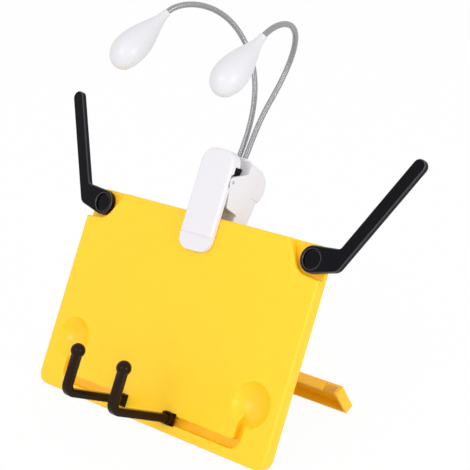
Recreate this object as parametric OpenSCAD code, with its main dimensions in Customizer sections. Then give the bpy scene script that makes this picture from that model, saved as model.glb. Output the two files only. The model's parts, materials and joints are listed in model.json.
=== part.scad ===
// Tabletop music stand: a leaning moulded panel with swing-out page arms, fold-out page hooks,
// a nesting kickstand and a clip-on lamp with two bendable necks. Millimetres, +Z up, table at Z = 0.

/* [Panel] */
// Width of the panel
panel_w = 274; // [260:1:320]
// Height of the panel, along its face
panel_h = 191; // [186:1:220]
// Depth of the panel's edge
panel_t = 11.7; // [11.7:0.1:14]
// Wall of the moulded panel
panel_wall = 2.2; // [1.6:0.1:2.2]
// Radius of the panel's corners
panel_corner_r = 11; // [6:0.5:14]
// Rounding of the panel's front edge
panel_edge = 2; // [0.4:0.1:2]
// Lean of the panel from upright, in degrees
lean = 25.8; // [20:0.2:30]
// Depth of the stiffening ribs in the hollow back
rib_depth = 5; // [3:0.5:6]

/* [Page hooks] */
// Thickness of the square hook bar
hook_bar = 7.4; // [6.6:0.1:7.4]
// Pivot of each hook from the panel's middle
hook_u = 27.5; // [24:0.5:32]
// Pivot of each hook above the panel's lower edge
hook_v = 13; // [12.6:0.1:13]
// Reach of each hook, pivot to upright
hook_len = 76.5; // [70:0.5:80]
// Height of the ball end over the bar
hook_rise = 36; // [30:1:44]
// Diameter of the ball end
hook_ball_d = 12.8; // [10:0.2:12.8]
// Bend radius of the hook, on its centre line
hook_bend_r = 7; // [5:0.5:10]
// Diameter of the hook pins
hook_pin_d = 2.5; // [2:0.1:3]
// Room round a folded hook in its groove
groove_gap = 0.6; // [0.4:0.1:1]
// Width of the finger dimple round each ball end
dimple_d = 39; // [34:1:40]
// Middle of the finger dimple outside the ball end
dimple_out = 4; // [0:0.5:4]

/* [Page arms] */
// Diameter of the arm's hub
arm_hub_d = 23.4; // [22:0.2:26]
// Hub centre from the panel's side edge
arm_side = 13.5; // [13:0.5:16]
// Hub centre from the panel's top edge
arm_down = 13; // [13:0.5:16]
// Thickness of the arm
arm_t = 5.6; // [5:0.1:6.4]
// Depth of the arm's face below the panel's face
arm_sink = 1.5; // [0.5:0.1:2.2]
// Hub to elbow
arm_short = 26.4; // [24:0.2:34]
// Elbow to tip
arm_long = 106; // [90:1:120]
// Width of the arm at its elbow
arm_elbow_w = 19.2; // [16:0.2:22]
// Width of the long leg
arm_w = 12; // [9:0.5:14]
// Slope of the short leg when set out, in degrees
arm_short_deg = 9.5; // [6:0.5:14]
// Slope of the long leg when set out, in degrees
arm_long_deg = 62; // [55:0.1:70]
// Diameter of the round pivot cap
arm_cap_d = 16.6; // [14:0.2:18]
// Diameter of the pivot shank
arm_shank_d = 8; // [6:0.5:9]

/* [Kickstand] */
// Hinge below the panel's top edge
hinge_down = 23; // [19:0.5:27]
// Width of the foot at the table
foot_w = 238; // [220:1:244]
// Height of the foot
foot_h = 22.75; // [22:0.25:30]
// Draw-in of each end of the foot, from table to top
foot_taper = 4.8; // [0:0.2:8]
// Width of the leg
leg_w = 104; // [96:1:112]
// Width of the slot between the leg's hinge arms
slot_w = 56; // [54:1:60]
// Slot bottom above the panel's lower edge when folded
slot_v = 112; // [90:1:130]
// Wall of the moulded kickstand
kick_wall = 2.5; // [2:0.1:3]
// Diameter of the hinge pins
hinge_pin_d = 3; // [2.5:0.1:3.5]

/* [Clip lamp] */
// Clip from the panel's middle
lamp_u = 3; // [-4:0.5:4]
// Width of the clip
lamp_w = 37; // [36:0.5:40]
// Clip pin above the panel's top edge
clip_up = 33; // [32:0.5:36]
// Clip pin behind the panel's front face
clip_back = 2; // [1.5:0.1:2.5]
// Tilt of the lamp housing away from the panel, in degrees
clip_tilt = 10; // [9.6:0.1:10.4]
// Length of the clip lever below its pin
lever_down = 66.5; // [64:0.5:70]
// Length of the clip lever above its pin
lever_up = 26.5; // [24:0.5:30]
// Thickness of the clip lever
lever_t = 5.4; // [5:0.1:6]
// Diameter of the clip pin
clip_pin_d = 3; // [2.5:0.1:3.2]
// Length of the rear jaw below the pin
jaw_down = 66; // [64:0.5:68]
// Depth of the rear jaw
jaw_depth = 21.5; // [19:0.5:22]
// Radius of the round bulge on the housing
bulge_r = 17.5; // [16:0.5:18]
// Wire of the clip spring
spring_wire = 1.2; // [0.8:0.1:1.3]
// Curls of the clip spring
spring_curls = 5; // [3:1:6]

/* [Necks and heads] */
// Diameter of the bendable necks
neck_d = 5.2; // [4.4:0.1:5.4]
// Bore of the necks
neck_bore = 2.6; // [1.6:0.1:3]
// Spacing of the necks at the housing
neck_pitch = 7.2; // [6.8:0.1:8]
// Ribs along each neck
neck_ribs = 100; // [40:1:100]
// Length of each lamp head
head_len = 66; // [58:1:76]
// Diameter of each lamp head
head_d = 29; // [26:0.5:34]
// Lens plane below the head's axis
lens_drop = 8.5; // [7.5:0.25:9.5]

/* [Hidden] */

// Fits and small clearances
run_gap = 0.05;
slip_gap = 0.3;
seat_gap = 0.05;
cut_over = 1;
$fn = 48;
corner_steps = 6;
edge_steps = 3;

// Colours
yellow = [1, 0.83, 0.16];
black = [0.09, 0.09, 0.1];
white = [0.94, 0.93, 0.95];
steel = [0.72, 0.73, 0.75];
rubber = [0.2, 0.2, 0.21];
silver = [0.66, 0.67, 0.69];
brass = [0.8, 0.65, 0.3];
board_green = [0.1, 0.35, 0.2];
lens_clear = [0.9, 0.95, 1, 0.5];
led_yellow = [1, 0.95, 0.7];

// Where the panel's lower front edge stands behind the object's middle
stand_y = -53.2;

// Hook axis depth, grooves and dimples
hook_proud = 0.2;
hook_z = -(hook_bar / 2 - hook_proud);
knuckle_over = 0.8;
knuckle_side = 1.55;
knuckle_lead = 2.5;
knuckle_r = hook_bar / 2 + knuckle_over;
knuckle_h = hook_bar + 2 * knuckle_side;
knuckle_len = knuckle_r + knuckle_lead;
groove_w = hook_bar + 2 * groove_gap;
groove_floor = hook_z - hook_bar / 2 - groove_gap;
groove_wall = 1.6;
groove_skin = 1.8;
groove_back = groove_floor - groove_skin;
pocket_floor = hook_z - knuckle_r - groove_gap;
pocket_wall = 1.3;
pocket_hold = 4.2;
pin_cover = 1;
pocket_reach = sqrt(pow(knuckle_r, 2) + pow(knuckle_len, 2)) + slip_gap;
hook_fold_u = hook_u + hook_len;
hook_ball_v = hook_v + hook_rise;
ball_clear = 0.8;
dimple_depth = hook_ball_d / 2 - hook_z + ball_clear;
dimple_u = hook_fold_u + dimple_out;
dimple_r = (pow(dimple_d / 2, 2) + pow(dimple_depth, 2)) / (2 * dimple_depth);
dimple_wall = 1;
hook_corner = 1.2;

// Arm hub, recess and pivot
hub_u = panel_w / 2 - arm_side;
hub_v = panel_h - arm_down;
washer_t = 0.6;
washer_rim = 5;
washer_d = arm_shank_d + 2 * washer_rim;
recess_gap = 2;
recess_shift = 2;
recess_edge = 3;
recess_floor = -(arm_sink + arm_t + washer_t + 2 * seat_gap);
recess_floor_t = 1.6;
recess_side_deg = 121;
recess_low_deg = -6;
recess_run = 45;
cap_t = 1.75;
cap_sink = 2;
cap_face = -arm_sink - cap_sink;
cap_bore = cap_sink + cap_t + seat_gap;
boss_d = 14;
boss_t = 0.3;
screw_d = 2.7;
screw_head_d = 6.6;
screw_head_t = 1.4;
screw_slot_l = 4;
screw_slot_w = 0.8;
screw_slot_t = 0.7;
arm_elbow_r = 9;
arm_crook_r = 4;
shank_float = 0.1;
shank_end = recess_floor - recess_floor_t + shank_float;
screw_short = 0.5;
boss_end = recess_floor - recess_floor_t - boss_t;

// Kickstand in its folded place: web outside the groove backs, walls reaching to the panel's web
hinge_v = panel_h - hinge_down;
nest_gap = 0.4;
foot_gap = 0.5;
kick_in = pocket_floor - pocket_wall - nest_gap;
kick_out = kick_in - kick_wall;
kick_front = -panel_wall - nest_gap;
hinge_r = 4.2;
hinge_sink = 0.1;
hinge_z = kick_front - hinge_r - hinge_sink;
foot_v = panel_wall + foot_gap;
foot_floor = 1.6;
foot_clear = 0.8;
heel_up = 7.5;
heel_in = 2;
leg_blend = 14;
slot_blend = 10;
hinge_block = 7;
notch_side = 1;
notch_w = groove_w + 2 * groove_wall + 2 * notch_side;
lug_t = 2.4;
lug_gap = 0.4;
lug_half = 7;
lug_back = 0.5;
rib_side = 12;
rib_above = 3;

// Opening angle at which the foot meets the table
leg_reach = hinge_v - foot_v;
leg_front = kick_front - hinge_z;
hinge_height = hinge_v * cos(lean) + (panel_t + hinge_z) * sin(lean);
kick_span = sqrt(pow(leg_reach, 2) + pow(leg_front, 2));
kick_open = lean + atan(leg_front / leg_reach) + acos(hinge_height / kick_span);

// Clip lever, in the panel's directions from the clip pin
lever_front = 8;
lever_back = lever_front - lever_t;
lever_skin = 2.4;
lever_edge = 2.4;
lever_top_r = 13;
lever_low_r = 12;
lever_wrap = 13.5;
lever_wrap_back = -3;
lip_len = 15;
lip_step = 1.5;
lug_r = 4.2;
ear_notch_r = 7.2;
lever_lug_t = 2.8;
ear_t = 2.5;
ear_gap = 0.6;
lever_lug_out = lamp_w / 2 - ear_t - ear_gap;
pad_w = 27;
pad_len = 15;
pad_low = 4;
pad_sink = 0.6;
sharp = 0.01;

// Lamp housing, in its own tilted directions from the clip pin
jaw_front = -21.5;
jaw_back = jaw_front - jaw_depth;
jaw_back_r = 5;
jaw_front_r = 2;
jaw_top = -2;
face_front = -15;
face_low = -14;
face_slope = -24;
house_top = 26;
bulge_y = house_top - bulge_r;
bulge_in = 15.8;
bulge_z = face_front - bulge_in;
bulge_edge = 5;
wall_t = 2;
case_wall = 3;
cavity_half = lamp_w / 2 - case_wall;
cavity_low = -1;
cavity_top = house_top - case_wall;
cover_step = 0.2;
cover_split = bulge_z - cover_step;
cover_low = jaw_top + cover_step;
cover_lip = 2;
part_gap = 0.15;
ear_low = -22.5;
ear_front = -3.2;
ear_round = 5;
ear_tip_r = 4.6;
ear_tip_from = 140;
ear_tip_to = 20;
ear_back_y = 14.2;
ear_back_z = -15.2;
spout_half = 9.5;
spout_r = 3;
spout_back = -25;
spout_up = 2.5;
socket_z = -19.5;
socket_depth = 9;
socket_top = house_top + spout_up;

// Battery bay
cell_d = 10.5;
cell_len = 44.5;
cell_nub_d = 3.8;
cell_nub = 1;
cell_count = 3;
cell_gap = 0.1;
bay_gap = 0.4;
cell_pitch = cell_d + cell_gap;
door_t = 2.2;
door_in = jaw_back + door_t;
bay_back = door_in;
cell_z = door_in + cell_d / 2 + bay_gap;
bay_front = cell_z + cell_d / 2 + bay_gap;
bay_half = cell_count * cell_d / 2 + bay_gap;
contact_t = 0.5;
contact_spring_len = 4;
cell_low = -57;
bay_low = cell_low - contact_spring_len - contact_t - 2 * seat_gap;
cell_high = cell_low + cell_len + cell_nub;
bay_high = cell_high + contact_t + 2 * seat_gap;
contact_w = 8;
grip_y = -12;
grip_half = 8;
grip_w = 1;
grip_pitch = 2.4;
grip_rows = 4;
grip_sink = 0.4;

// Jaw pad, a round rubber bar that bears on the panel's clip rib
pad_r = 3;
jaw_pad_y = -60;
jaw_pad_half = 15;
jaw_pad_z = (clip_back + jaw_pad_y * sin(clip_tilt) - panel_t - seat_gap - pad_r) / cos(clip_tilt);
clip_rib_v = panel_h + clip_up + jaw_pad_y * cos(clip_tilt) + jaw_pad_z * sin(clip_tilt);
clip_rib_t = 3;

// Push buttons and switch board
button_w = 8.4;
button_h = 7.2;
button_u = 5.2;
button_y = 14;
button_proud = 1.2;
button_r = 1.2;
button_flange = 0.7;
button_flange_t = 0.75;
button_travel = 0.8;
face_in = face_front - wall_t;
board_back = 3;
board_front = face_in - board_back;
board_t = 1.4;
board_low = 0;
board_high = 17.5;
tact_half = 2.5;
tact_gap = 0.1;
tact_top = face_in - seat_gap - button_flange_t - button_travel - tact_gap;

// Clip spring, coiled on the pin between the lever's lugs
spring_room = 1.2;
spring_open = 1;
spring_splay = 6.5;
spring_end_turn = 0.5;
spring_r = clip_pin_d / 2 + spring_wire / 2 + spring_room;
spring_pitch = spring_wire + spring_open;
spring_leg = 17;
spring_sides = 6;
spring_rings = 8;
spring_turns = spring_curls + spring_end_turn;

// Bendable necks: control points in the housing's directions, after a straight lead from the socket
neck_lead_left = 37;
neck_lead_right = 18;
neck_left = [[-13, 111, -18], [-17, 126, 27], [-21, 140, 68], [-24.5, 115, 107], [-27, 100, 112]];
neck_right = [[7, 60, -12], [15, 87, -8], [37, 167, 4], [68, 123, 86], [67, 98, 95]];
neck_steps = 40;
neck_sides = 8;
neck_valley = 0.35;
neck_bore_step = 5;
neck_in_head = 8;

// Lamp heads
head_lip = 0.9;
head_mouth_r = neck_d / 2 + head_lip;
head_collar = 3;
head_flare = 2;
head_flare_at = 0.25;
head_full_at = 0.455;
head_middle_at = 0.71;
head_middle = head_middle_at * head_len;
head_steps = 10;
head_wall = 1.8;
lens_t = 1.4;
lens_gap = 0.15;
lens_sink = 0.3;
led_board_t = 1.2;
led_board_up = 5;
led_board_z = lens_drop - led_board_up;
led_board_fit = head_wall + cover_step;
led_d = 4.8;
led_gap = 0.5;
led_from_tip = [9, 18, 27, 36];
cavity_back = 26;

// Points of an arc, and of a rectangle with one radius at its lower and one at its upper corners
function arc(c, r, from, to, steps) =
    [for (i = [0:steps]) let (a = from + (to - from) * i / steps) c + r * [cos(a), sin(a)]];
function plank(half, low, high, r_low, r_high) = concat(
    arc([half - r_low, low + r_low], r_low, 270, 360, corner_steps),
    arc([half - r_high, high - r_high], r_high, 0, 90, corner_steps),
    arc([-half + r_high, high - r_high], r_high, 90, 180, corner_steps),
    arc([-half + r_low, low + r_low], r_low, 180, 270, corner_steps));
function lift(points, z) = [for (p = points) [p[0], p[1], z]];
function unit(v) = v / norm(v);

// Direction at an angle, meeting point of two lines, and the rounded corner where a path turns
function dir(a) = [cos(a), sin(a)];
function meet(p, a, q, b) = let (d = q - p)
    p + dir(a) * (d[0] * sin(b) - d[1] * cos(b)) / sin(b - a);
function turn(corner, r, from, to) = let (side = to > from ? 90 : -90, t = r * tan(abs(to - from) / 2))
    arc(corner - t * dir(from) + r * dir(from + side), r, from - side, to - side, corner_steps);

// Solid through a stack of like rings, each seen anticlockwise from the last one
module loft(rings) {
    n = len(rings[0]);
    last = (len(rings) - 1) * n;
    sides = [for (j = [0:len(rings) - 2]) for (i = [0:n - 1])
        let (a = j * n + i, b = j * n + (i + 1) % n) each [[a, a + n, b + n], [a, b + n, b]]];
    polyhedron(concat([for (r = rings) each r]),
        concat([[for (i = [0:n - 1]) i]], sides, [[for (i = [n - 1:-1:0]) last + i]]));
}

// Tube wall between an outer and an inner stack of rings
module hose(outer, inner) {
    n = len(outer[0]);
    far = (len(outer) - 1) * n;
    start = len(outer) * n;
    end = start + (len(inner) - 1) * n;
    skin = [for (j = [0:len(outer) - 2]) for (i = [0:n - 1])
        let (a = j * n + i, b = j * n + (i + 1) % n) each [[a, a + n, b + n], [a, b + n, b]]];
    bore = [for (j = [0:len(inner) - 2]) for (i = [0:n - 1])
        let (a = start + j * n + i, b = start + j * n + (i + 1) % n)
            each [[a, b + n, a + n], [a, b, b + n]]];
    rims = [for (i = [0:n - 1]) let (k = (i + 1) % n)
        each [[i, k, start + k], [i, start + k, start + i],
            [far + i, end + k, far + k], [far + i, end + i, end + k]]];
    polyhedron(concat([for (r = outer) each r], [for (r = inner) each r]), concat(skin, bore, rims));
}

// Slab with a rounded front edge, made from an outline that takes an inset
function edge_inset(e, i) = e * (1 - cos(90 * i / edge_steps));
function edge_rise(e, i) = e * sin(90 * i / edge_steps);

// Places: the panel's frame has x across, y up the face and z out of the front
module on_panel() {
    translate([0, stand_y, panel_t * sin(lean)]) rotate([90 - lean, 0, 0]) children();
}
module at_clip() {
    on_panel() translate([lamp_u, panel_h + clip_up, -clip_back]) children();
}
module at_housing() {
    at_clip() rotate([-clip_tilt, 0, 0]) children();
}
module both_sides() {
    children();
    mirror([1, 0, 0]) children();
}
module block(low, high) {
    translate(low) cube(high - low);
}
module rod_x(d, from, to) {
    translate([from, 0, 0]) rotate([0, 90, 0]) cylinder(d = d, h = to - from);
}

// Panel
module panel_slab() {
    loft(concat(
        [lift(plank(panel_w / 2, 0, panel_h, panel_corner_r, panel_corner_r), -panel_t)],
        [for (i = [0:edge_steps]) let (g = edge_inset(panel_edge, i))
            lift(plank(panel_w / 2 - g, g, panel_h - g, panel_corner_r - g, panel_corner_r - g),
                edge_rise(panel_edge, i) - panel_edge)]));
}
module panel_hollow() {
    translate([0, 0, -panel_t - cut_over]) linear_extrude(panel_t - panel_wall + cut_over)
        polygon(plank(panel_w / 2 - panel_wall, panel_wall, panel_h - panel_wall,
            panel_corner_r - panel_wall, panel_corner_r - panel_wall));
}
function recess_outline(grow) = let (
    middle = [hub_u - recess_shift, hub_v],
    r = arm_hub_d / 2 + recess_gap + grow,
    bend = arc(middle, r, recess_side_deg + 90, recess_low_deg + 270, 2 * corner_steps))
    concat([bend[0] + recess_run * dir(recess_side_deg)], bend,
        [bend[2 * corner_steps] + recess_run * dir(recess_low_deg), middle + [recess_run, recess_run]]);
function groove_path(half) = let (bend = [hook_fold_u - hook_bend_r, hook_v + hook_bend_r])
    concat([[hook_u, hook_v - half]],
        arc(bend, hook_bend_r + half, 270, 360, corner_steps),
        [[hook_fold_u + half, hook_ball_v], [hook_fold_u - half, hook_ball_v]],
        arc(bend, max(hook_bend_r - half, slip_gap), 360, 270, corner_steps),
        [[hook_u, hook_v + half]]);
module groove_backs() {
    translate([0, 0, groove_back]) linear_extrude(-panel_wall - groove_back)
        polygon(groove_path(groove_w / 2 + groove_wall));
    block([hook_u - knuckle_r - groove_gap - pocket_wall, panel_wall / 2, pocket_floor - pocket_wall],
        [hook_u + pocket_reach + pocket_wall, hook_v + knuckle_h / 2 + groove_gap + pocket_hold,
            -panel_wall]);
    intersection() {
        translate([dimple_u, hook_ball_v, dimple_r - dimple_depth]) sphere(dimple_r + dimple_wall);
        block([dimple_u - dimple_d, hook_ball_v - dimple_d, -panel_t - cut_over],
            [dimple_u + dimple_d, hook_ball_v + dimple_d, -panel_wall / 2]);
    }
}
module groove_cuts() {
    pocket = knuckle_h / 2 + groove_gap;
    translate([0, 0, groove_floor]) linear_extrude(cut_over - groove_floor)
        polygon(groove_path(groove_w / 2));
    block([hook_u - knuckle_r - groove_gap, hook_v - pocket, pocket_floor],
        [hook_u + pocket_reach, hook_v + pocket, cut_over]);
    translate([dimple_u, hook_ball_v, dimple_r - dimple_depth]) sphere(dimple_r);
    translate([hook_u, -cut_over, hook_z]) rotate([-90, 0, 0])
        cylinder(d = hook_pin_d + 2 * seat_gap, h = hook_v + pocket + pocket_hold - pin_cover + cut_over);
}
module recess_floor_plate() {
    intersection() {
        translate([0, 0, recess_floor - recess_floor_t])
            linear_extrude(-recess_floor + recess_floor_t - panel_wall / 2)
                polygon(recess_outline(panel_wall));
        block([0, 0, -panel_t], [panel_w / 2 - panel_wall / 2, panel_h - panel_wall / 2, 0]);
    }
    translate([hub_u, hub_v, boss_end]) cylinder(d = boss_d, h = boss_t + recess_floor_t / 2);
}
module recess_cut() {
    loft(concat([lift(recess_outline(0), recess_floor)],
        [for (i = [0:edge_steps]) lift(recess_outline(edge_inset(recess_edge, i)),
            edge_rise(recess_edge, i) - recess_edge)],
        [lift(recess_outline(recess_edge), cut_over)]));
    translate([hub_u, hub_v, shank_end]) cylinder(d = arm_shank_d + 2 * seat_gap, h = -shank_end);
    translate([hub_u, hub_v, boss_end - cut_over])
        cylinder(d = screw_d + 2 * slip_gap, h = cut_over - boss_end);
}
module hinge_lugs() {
    for (u = [slot_w / 2 - lug_gap - lug_t, leg_w / 2 + lug_gap])
        block([u, hinge_v - lug_half, -panel_t + lug_back],
            [u + lug_t, hinge_v + lug_half, -panel_wall / 2]);
}
module back_ribs() {
    rib_u = leg_w / 2 + rib_side;
    rib_low = foot_v + foot_h + rib_above;
    rib_back = -panel_wall - rib_depth;
    block([rib_u, rib_low, rib_back], [rib_u + panel_wall, panel_h - panel_wall / 2, -panel_wall / 2]);
    for (v = [hook_ball_v + dimple_d, hook_ball_v + 2 * dimple_d])
        block([rib_u, v, rib_back], [panel_w / 2 - panel_wall / 2, v + panel_wall, -panel_wall / 2]);
}
module clip_rib() {
    half = slot_w / 2 - lug_gap - lug_t / 2;
    block([-half, clip_rib_v - clip_rib_t / 2, -panel_t],
        [half, clip_rib_v + clip_rib_t / 2, -panel_wall / 2]);
}
module panel() {
    color(yellow) on_panel() difference() {
        union() {
            difference() {
                panel_slab();
                panel_hollow();
            }
            both_sides() {
                groove_backs();
                recess_floor_plate();
                hinge_lugs();
                back_ribs();
            }
            clip_rib();
        }
        both_sides() {
            groove_cuts();
            recess_cut();
            translate([0, hinge_v, hinge_z]) rod_x(hinge_pin_d + 2 * seat_gap, 0, leg_w);
        }
    }
}

// Kickstand, drawn folded and then swung open about its hinge
function kick_outline(g, bottom, top) = let (
    foot_top = foot_v + foot_h,
    foot = foot_w / 2 - g,
    leg = leg_w / 2 - g,
    slot = slot_w / 2 + g,
    bend = leg_blend + g,
    slot_bend = slot_blend + g,
    right = concat(
        [[foot, bottom], [foot - foot_taper, foot_top - g]],
        arc([leg + bend, foot_top - g + bend], bend, 270, 180, corner_steps),
        [[leg, top], [slot, top]],
        arc([slot - slot_bend, slot_v - g + slot_bend], slot_bend, 0, -90, corner_steps)))
    concat(right, [for (i = [len(right) - 1:-1:0]) [-right[i][0], right[i][1]]]);
module kick_folded() {
    difference() {
        union() {
            translate([0, 0, kick_out]) linear_extrude(kick_front - kick_out)
                polygon(kick_outline(0, foot_v, hinge_v));
            both_sides() {
                translate([0, hinge_v, hinge_z]) rod_x(2 * hinge_r, slot_w / 2, leg_w / 2);
                block([slot_w / 2, hinge_v - cut_over, kick_out],
                    [leg_w / 2, hinge_v + heel_up, hinge_z - heel_in]);
            }
        }
        translate([0, 0, kick_in]) linear_extrude(kick_front - kick_in + cut_over)
            polygon(kick_outline(kick_wall, foot_v + foot_floor, hinge_v - hinge_block));
        both_sides() {
            block([hook_u - knuckle_r - groove_gap - pocket_wall - foot_clear, foot_v - cut_over, kick_in],
                [hook_u + pocket_reach + pocket_wall + foot_clear, foot_v + 2 * foot_floor,
                    kick_front + cut_over]);
            block([hook_fold_u - notch_w / 2, foot_v + foot_h - 2 * kick_wall, kick_in],
                [hook_fold_u + notch_w / 2, foot_v + foot_h + cut_over, kick_front + cut_over]);
            translate([0, hinge_v, hinge_z]) rod_x(hinge_pin_d + 2 * run_gap, 0, leg_w);
        }
    }
}
module kickstand() {
    color(yellow) on_panel() translate([0, hinge_v, hinge_z]) rotate([kick_open, 0, 0])
        translate([0, -hinge_v, -hinge_z]) kick_folded();
}
module hinge_pins() {
    color(steel) on_panel() both_sides() translate([0, hinge_v, hinge_z])
        rod_x(hinge_pin_d, slot_w / 2 - lug_gap - lug_t + slip_gap,
            leg_w / 2 + lug_gap + lug_t - slip_gap);
}

// Page arms, drawn for the right corner
function arm_outline() = let (
    hub = [hub_u, hub_v],
    elbow = hub + arm_short * dir(arm_short_deg),
    tip = elbow + (arm_long - arm_w / 2) * dir(arm_long_deg),
    taper = asin((arm_hub_d - arm_elbow_w) / 2 / arm_short),
    low = arm_short_deg + taper,
    high = arm_short_deg - taper,
    out = arm_long_deg - 90,
    outer = meet(hub + arm_hub_d / 2 * dir(low - 90), low, elbow + arm_w / 2 * dir(out), arm_long_deg),
    inner = meet(hub + arm_hub_d / 2 * dir(high + 90), high, elbow - arm_w / 2 * dir(out), arm_long_deg))
    concat(arc(hub, arm_hub_d / 2, high + 90, low + 270, 4 * corner_steps),
        turn(outer, arm_elbow_r, low, arm_long_deg),
        arc(tip, arm_w / 2, out, out + 180, 2 * corner_steps),
        turn(inner, arm_crook_r, arm_long_deg + 180, high + 180));
module arm() {
    color(black) difference() {
        translate([0, 0, -arm_sink - arm_t]) linear_extrude(arm_t) polygon(arm_outline());
        translate([hub_u, hub_v, -arm_sink - cap_bore])
            cylinder(d = arm_cap_d + 2 * slip_gap, h = cap_bore + cut_over);
        translate([hub_u, hub_v, -arm_sink - arm_t - cut_over])
            cylinder(d = arm_shank_d + 2 * run_gap, h = arm_t + cut_over);
    }
}
module right_arm() {
    on_panel() arm();
}
module left_arm() {
    on_panel() mirror([1, 0, 0]) arm();
}
module arm_cap() {
    color(black) translate([hub_u, hub_v, 0]) difference() {
        union() {
            translate([0, 0, cap_face - cap_t]) cylinder(d = arm_cap_d, h = cap_t);
            translate([0, 0, shank_end + seat_gap])
                cylinder(d = arm_shank_d, h = cap_face - cap_t / 2 - shank_end - seat_gap);
        }
        translate([0, 0, shank_end - cut_over])
            cylinder(d = screw_d + 2 * seat_gap, h = cap_face - cap_t - shank_end + cut_over);
    }
}
module right_arm_cap() {
    on_panel() arm_cap();
}
module left_arm_cap() {
    on_panel() mirror([1, 0, 0]) arm_cap();
}
module arm_washers() {
    color(steel) on_panel() both_sides() translate([hub_u, hub_v, recess_floor + seat_gap]) difference() {
        cylinder(d = washer_d, h = washer_t);
        translate([0, 0, -cut_over])
            cylinder(d = arm_shank_d + 2 * slip_gap, h = washer_t + 2 * cut_over);
    }
}
module arm_screws() {
    color(steel) on_panel() both_sides() translate([hub_u, hub_v, boss_end - seat_gap]) {
        difference() {
            translate([0, 0, -screw_head_t]) cylinder(d = screw_head_d, h = screw_head_t);
            for (turned = [0, 90]) rotate([0, 0, turned])
                block([-screw_slot_l / 2, -screw_slot_w / 2, -screw_head_t - cut_over],
                    [screw_slot_l / 2, screw_slot_w / 2, -screw_head_t + screw_slot_t]);
        }
        translate([0, 0, -screw_head_t / 2])
            cylinder(d = screw_d, h = screw_head_t / 2 - boss_end + cap_face - cap_t - screw_short);
    }
}

// Page hooks, drawn for the right side with the pivot at the origin and the bar along z
function hook_section() = plank(hook_bar / 2, -hook_bar / 2, hook_bar / 2, hook_corner, hook_corner);
module hook() {
    color(black) difference() {
        union() {
            rotate([90, 0, 0]) cylinder(r = knuckle_r, h = knuckle_h, center = true);
            block([-knuckle_r, -knuckle_h / 2, 0], [knuckle_r, knuckle_h / 2, knuckle_len]);
            linear_extrude(hook_len - hook_bend_r) polygon(hook_section());
            translate([0, hook_bend_r, hook_len - hook_bend_r]) rotate([0, 90, 0]) rotate([0, 0, 180])
                rotate_extrude(angle = 90) translate([hook_bend_r, 0]) polygon(hook_section());
            translate([0, hook_bend_r, hook_len]) rotate([-90, 0, 0])
                linear_extrude(hook_rise - hook_bend_r) polygon(hook_section());
            translate([0, hook_rise, hook_len]) sphere(d = hook_ball_d);
        }
        rotate([90, 0, 0])
            cylinder(d = hook_pin_d + 2 * run_gap, h = knuckle_h + cut_over, center = true);
    }
}
module right_hook() {
    on_panel() translate([hook_u, hook_v, hook_z]) hook();
}
module left_hook() {
    on_panel() mirror([1, 0, 0]) translate([hook_u, hook_v, hook_z]) hook();
}
module hook_pins() {
    low = panel_wall + slip_gap;
    high = hook_v + knuckle_h / 2 + groove_gap + pocket_hold - pin_cover - slip_gap;
    color(steel) on_panel() both_sides() translate([hook_u, low, hook_z]) rotate([-90, 0, 0])
        cylinder(d = hook_pin_d, h = high - low);
}

// Lamp housing and what it holds
module bulge(grow) {
    r = bulge_r + grow;
    half = lamp_w / 2 + grow;
    profile = concat([[0, -half]],
        arc([r - bulge_edge, -half + bulge_edge], bulge_edge, -90, 0, corner_steps),
        arc([r - bulge_edge, half - bulge_edge], bulge_edge, 0, 90, corner_steps), [[0, half]]);
    translate([0, bulge_y, bulge_z]) rotate([0, 90, 0]) rotate_extrude() polygon(profile);
}
module jaw_body() {
    half = lamp_w / 2;
    translate([0, -jaw_down, 0]) rotate([-90, 0, 0]) linear_extrude(jaw_down + jaw_top)
        polygon(plank(half, -jaw_front, -jaw_back, jaw_front_r, jaw_back_r));
}
module along_x(half) {
    rotate([90, 0, 90]) translate([0, 0, -half]) linear_extrude(2 * half) children();
}
module front_body() {
    intersection() {
        along_x(lamp_w / 2) polygon([[face_slope, jaw_front], [face_low, face_front],
            [house_top, face_front], [house_top, bulge_z], [face_slope, bulge_z]]);
        translate([0, 0, bulge_z]) linear_extrude(face_front - bulge_z)
            polygon(plank(lamp_w / 2, face_slope, house_top, seat_gap, bulge_edge));
    }
    translate([0, house_top - wall_t, 0]) rotate([-90, 0, 0]) linear_extrude(spout_up + wall_t)
        polygon(plank(spout_half, -face_front, -spout_back, spout_r, spout_r));
}
module ears() {
    ear = concat(
        [[ear_back_y, bulge_z], [ear_low, bulge_z]],
        arc([ear_low + ear_round, ear_front - ear_round], ear_round, 180, 90, corner_steps),
        arc([0, 0], ear_tip_r, ear_tip_from, ear_tip_to, corner_steps),
        [[ear_back_y, ear_back_z]]);
    both_sides() translate([lamp_w / 2 - ear_t, 0, 0]) rotate([90, 0, 90])
        linear_extrude(ear_t) polygon(ear);
}
module upper_cavity() {
    block([-cavity_half, cavity_low, cover_split - part_gap - cut_over],
        [cavity_half, cavity_top, face_in]);
}
module battery_bay() {
    block([-bay_half, bay_low, bay_back - cut_over], [bay_half, bay_high, bay_front]);
}
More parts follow.
